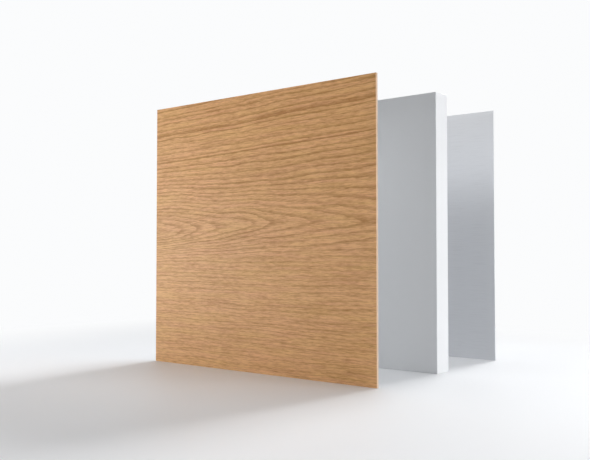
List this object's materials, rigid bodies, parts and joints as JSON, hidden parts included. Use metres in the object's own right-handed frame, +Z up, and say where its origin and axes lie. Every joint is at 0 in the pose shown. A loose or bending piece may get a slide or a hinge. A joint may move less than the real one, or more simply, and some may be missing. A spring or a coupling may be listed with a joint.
{
  "type": "composite panel",
  "caption": "Rectangular composite panel opened out into its layers: an oak-faced sheet, a thick white core board and a thin metal back sheet, standing upright in line.",
  "frame": {"origin": "middle of the footprint, on the surface that the layers' bottom edges stand on", "axes": "+X along the panel's width, +Y from the oak face to the metal back sheet, +Z up"},
  "size_m": [0.625, 0.516, 0.6],
  "materials": {
    "oak": "satin lacquered oak, grain running along X",
    "white_board": "matt white rigid board",
    "satin_metal": "satin rolled sheet"
  },
  "bodies": {
    "root": {"face_sheet": "oak", "core_board": "white_board", "back_sheet": "satin_metal"}
  },
  "joints": []
}
